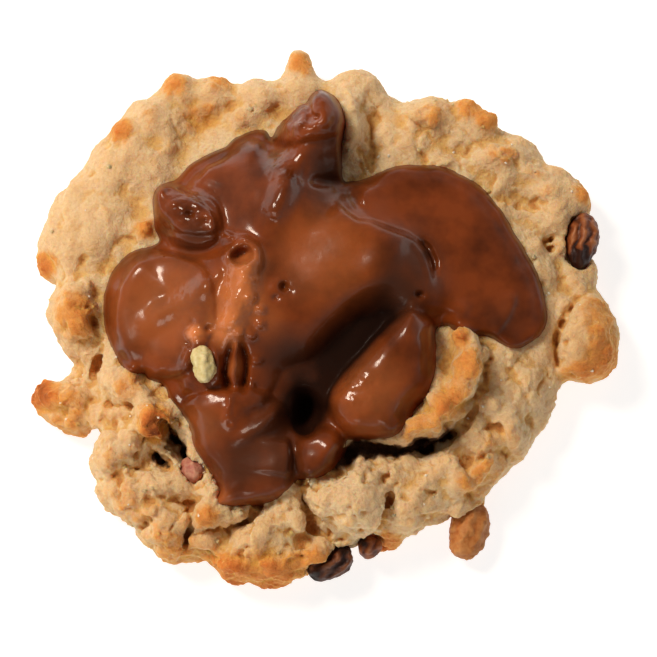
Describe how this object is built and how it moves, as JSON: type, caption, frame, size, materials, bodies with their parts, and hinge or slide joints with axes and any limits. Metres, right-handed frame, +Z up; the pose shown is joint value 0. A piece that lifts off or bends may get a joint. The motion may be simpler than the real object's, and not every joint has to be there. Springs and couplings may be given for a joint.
{
  "type": "nut cookie",
  "caption": "Craggy drop cookie with nut pieces at its rim, half covered on top by a thick glossy run of milk chocolate.",
  "frame": {"origin": "middle of the cookie's underside, on the surface that it rests on", "axes": "+Z up out of the chocolate side, +X towards the chocolate pool, +Y towards the small spike on the rim"},
  "size_m": [0.081, 0.0748, 0.0238],
  "materials": {
    "baked_dough": "dry crumb, browned at the tips",
    "milk_chocolate": "set glossy chocolate",
    "pecan_skin": "ridged nut skin",
    "dark_pecan_skin": "dark roasted nut skin",
    "toasted_nut_skin": "toasted nut",
    "red_nut_skin": "papery red skin",
    "pale_nutmeat": "bare nut flesh"
  },
  "bodies": {
    "root": {"dough": "baked_dough", "chocolate": "milk_chocolate", "east_pecan": "pecan_skin", "south_pecan": "dark_pecan_skin", "south_pecan_half": "pecan_skin", "toasted_nut": "toasted_nut_skin", "red_skinned_nut": "red_nut_skin", "bare_nutmeat": "pale_nutmeat"}
  },
  "joints": []
}
